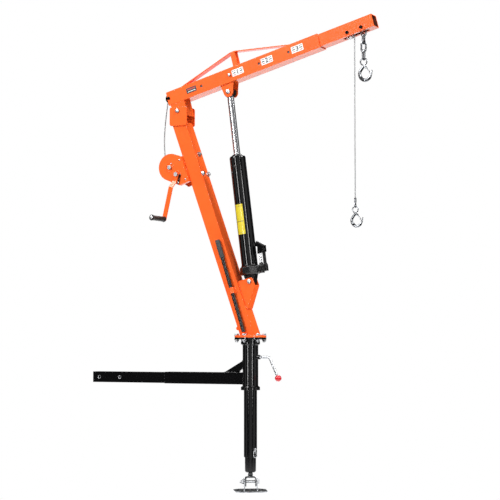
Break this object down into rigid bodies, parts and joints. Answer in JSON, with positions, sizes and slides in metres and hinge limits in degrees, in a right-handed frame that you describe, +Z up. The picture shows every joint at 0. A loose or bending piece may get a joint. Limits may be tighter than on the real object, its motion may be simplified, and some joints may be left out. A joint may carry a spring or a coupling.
{
  "type": "pickup truck crane",
  "caption": "Hitch-mounted swivel crane with a leaning mast, telescopic boom on a hydraulic jack, geared hand winch with rope and hook, chain hook and sliding support leg.",
  "frame": {"origin": "centre of the foot plate's underside, on the swivel axis", "axes": "+Z up along the swivel axis, +X along the boom away from the hitch bar, +Y to the far side from the winch crank"},
  "size_m": [1.4812, 0.295, 2.1468],
  "materials": {
    "orange": "semi gloss powder coat",
    "black": "semi gloss powder coat",
    "cast_black": "painted casting",
    "zinc": "zinc plated",
    "chrome": "polished",
    "rubber": "matt",
    "black_plastic": "fine grain",
    "red": "glossy",
    "bronze": "heat coloured",
    "rope": "galvanised strands"
  },
  "bodies": {
    "hitch_base": {"drawbar": "black", "drawbar_brace": "black", "swivel_sleeve": "black", "thrust_washer": "black"},
    "lock": {"lock_handle": "zinc", "lock_knob": "red"},
    "column": {"post_tube": "black", "flange_bolt_1": "zinc", "flange_bolt_2": "zinc", "flange_bolt_3": "zinc", "flange_bolt_4": "zinc", "flange_bolt_5": "zinc", "flange_bolt_6": "zinc", "mast_tube": "orange", "pivot_bolt": "zinc", "jack_bracket": "orange", "jack_lower_pin": "zinc", "winch_frame": "orange", "gear_cover": "orange", "winch_axle": "zinc", "rope_run": "rope"},
    "leg": {"leg_tube": "black"},
    "leg_lock": {"leg_pin": "zinc"},
    "foot_neck": {"foot_yoke": "zinc"},
    "foot": {"foot_plate": "zinc", "foot_bolt": "zinc"},
    "drum": {"winch_drum": "zinc", "drum_winding": "rope"},
    "crank": {"crank_shaft": "zinc", "crank_arm": "orange"},
    "grip": {"crank_grip": "black_plastic"},
    "winch_pawl": {"pawl": "zinc"},
    "cylinder": {"jack_base": "cast_black", "jack_cylinder": "black"},
    "ram": {"jack_rod": "chrome"},
    "pump_lever": {"pump_socket": "black"},
    "plunger": {"pump_plunger": "chrome"},
    "valve": {"release_valve": "black"},
    "handle": {"handle_rod": "black", "handle_grip": "rubber"},
    "boom": {"boom_outer": "orange", "boom_brace": "orange", "ram_pin": "zinc"},
    "boom_lock": {"boom_lock_pin": "zinc"},
    "rear_sheave": {"rear_roller": "black"},
    "inner_boom": {"boom_inner": "orange", "pulley_bolt": "black", "chain_bolt": "black"},
    "front_sheave": {"front_pulley": "zinc"},
    "link_1": {"chain_link_1": "zinc"},
    "link_2": {"chain_link_2": "zinc"},
    "link_3": {"chain_link_3": "zinc"},
    "link_4": {"chain_link_4": "zinc"},
    "chain_hook_body": {"chain_hook": "zinc"},
    "chain_latch": {"chain_hook_latch": "zinc"},
    "rope_end": {"rope_drop": "rope", "rope_ferrule": "zinc"},
    "rope_hook_body": {"rope_hook": "bronze"},
    "rope_latch": {"rope_hook_latch": "zinc"}
  },
  "joints": [
    {"name": "lock_turn", "type": "hinge", "parent": "hitch_base", "child": "lock", "pos_m": [0, 0, 0.614], "axis": [1, 0, 0], "range_deg": [0, 340]},
    {"name": "swivel", "type": "hinge", "parent": "hitch_base", "child": "column", "pos_m": [0, 0, 0.614], "axis": [0, 0, 1], "continuous": true},
    {"name": "leg_slide", "type": "slide", "parent": "column", "child": "leg", "axis": [0, 0, -1], "range_m": [-0.05, 0.25]},
    {"name": "leg_pin_pull", "type": "slide", "parent": "column", "child": "leg_lock", "axis": [0.891, -0.454, 0], "range_m": [0, 0.04]},
    {"name": "foot_turn", "type": "hinge", "parent": "leg", "child": "foot_neck", "pos_m": [0, 0, 0.09], "axis": [0, 0, 1], "continuous": true},
    {"name": "foot_tilt", "type": "hinge", "parent": "foot_neck", "child": "foot", "pos_m": [0, 0, 0.045], "axis": [0.829, 0.5592, 0], "range_deg": [-20, 20]},
    {"name": "drum_spin", "type": "hinge", "parent": "column", "child": "drum", "pos_m": [-0.40417, 0, 1.50859], "axis": [0, 1, 0], "continuous": true},
    {"name": "crank_spin", "type": "hinge", "parent": "column", "child": "crank", "pos_m": [-0.36239, 0, 1.47272], "axis": [0, 1, 0], "continuous": true},
    {"name": "grip_spin", "type": "hinge", "parent": "crank", "child": "grip", "pos_m": [-0.41291, -0.15, 1.26065], "axis": [0, 1, 0], "continuous": true},
    {"name": "pawl_flip", "type": "hinge", "parent": "column", "child": "winch_pawl", "pos_m": [-0.35563, -0.05, 1.43368], "axis": [0, 1, 0], "range_deg": [0, 25]},
    {"name": "boom_tilt", "type": "hinge", "parent": "column", "child": "boom", "pos_m": [-0.36948, 0, 1.77875], "axis": [0, 1, 0], "range_deg": [-12, 25], "deforming": ["rope_run"]},
    {"name": "cylinder_swing", "type": "hinge", "parent": "column", "child": "cylinder", "pos_m": [0.00604, 0, 0.96192], "axis": [0, 1, 0], "range_deg": [-0.15, 0.3]},
    {"name": "ram_slide", "type": "slide", "parent": "cylinder", "child": "ram", "axis": [-0.1268, 0, 0.9919], "range_m": [-0.12, 0.06]},
    {"name": "pump_stroke", "type": "hinge", "parent": "cylinder", "child": "pump_lever", "pos_m": [0.06815, 0, 1.10697], "axis": [0, -1, 0], "range_deg": [-15, 5]},
    {"name": "plunger_slide", "type": "slide", "parent": "cylinder", "child": "plunger", "axis": [0.1268, 0, -0.9919], "range_m": [-0.0055, 0.0018]},
    {"name": "valve_turn", "type": "hinge", "parent": "cylinder", "child": "valve", "pos_m": [-0.00056, 0.048, 1.0135], "axis": [0, 1, 0], "range_deg": [0, 90]},
    {"name": "handle_draw", "type": "slide", "parent": "column", "child": "handle", "axis": [-0.309, 0, 0.9511], "range_m": [0, 0.3]},
    {"name": "boom_pin_pull", "type": "slide", "parent": "boom", "child": "boom_lock", "axis": [0, -1, 0], "range_m": [0, 0.05]},
    {"name": "rear_sheave_spin", "type": "hinge", "parent": "boom", "child": "rear_sheave", "pos_m": [-0.42177, 0, 1.84354], "axis": [0, 1, 0], "continuous": true},
    {"name": "inner_slide", "type": "slide", "parent": "boom", "child": "inner_boom", "axis": [0.9668, 0, 0.2554], "range_m": [-0.11, 0.315]},
    {"name": "front_sheave_spin", "type": "hinge", "parent": "inner_boom", "child": "front_sheave", "pos_m": [0.50441, 0, 2.07273], "axis": [0, 1, 0], "continuous": true},
    {"name": "link_1_swing", "type": "hinge", "parent": "inner_boom", "child": "link_1", "pos_m": [0.57209, 0, 2.09062], "axis": [0, -1, 0], "range_deg": [-1, 30]},
    {"name": "link_2_swing", "type": "hinge", "parent": "link_1", "child": "link_2", "pos_m": [0.57209, 0, 2.05642], "axis": [1, 0, 0], "range_deg": [-30, 30]},
    {"name": "link_3_swing", "type": "hinge", "parent": "link_2", "child": "link_3", "pos_m": [0.57209, 0, 2.02022], "axis": [0, -1, 0], "range_deg": [0, 30]},
    {"name": "link_4_swing", "type": "hinge", "parent": "link_3", "child": "link_4", "pos_m": [0.57209, 0, 1.98402], "axis": [1, 0, 0], "range_deg": [-30, 30]},
    {"name": "chain_hook_swing", "type": "hinge", "parent": "link_4", "child": "chain_hook_body", "pos_m": [0.57209, 0, 1.94782], "axis": [0, -1, 0], "range_deg": [0, 30]},
    {"name": "chain_latch_press", "type": "hinge", "parent": "chain_hook_body", "child": "chain_latch", "pos_m": [0.58049, 0, 1.91432], "axis": [0, 1, 0], "range_deg": [0, 25], "stiffness_Nm_per_rad": 0.02, "springref_deg": -28.65},
    {"name": "rope_swing", "type": "hinge", "parent": "inner_boom", "child": "rope_end", "pos_m": [0.50441, 0, 2.07273], "axis": [0, 1, 0], "range_deg": [-1, 25]},
    {"name": "rope_hook_swing", "type": "hinge", "parent": "rope_end", "child": "rope_hook_body", "pos_m": [0.52841, 0, 1.284], "axis": [0, 1, 0], "range_deg": [-30, 30]},
    {"name": "rope_latch_press", "type": "hinge", "parent": "rope_hook_body", "child": "rope_latch", "pos_m": [0.53591, 0, 1.25305], "axis": [0, 1, 0], "range_deg": [0, 25], "stiffness_Nm_per_rad": 0.02, "springref_deg": -28.65}
  ],
  "couplings": [
    {"joint": "crank_spin", "follows": "drum_spin", "ratio": -4},
    {"joint": "cylinder_swing", "follows": "boom_tilt", "ratio": 0.0096},
    {"joint": "ram_slide", "follows": "boom_tilt", "m_per_rad": -0.27167},
    {"joint": "plunger_slide", "follows": "pump_stroke", "m_per_rad": 0.0198}
  ]
}
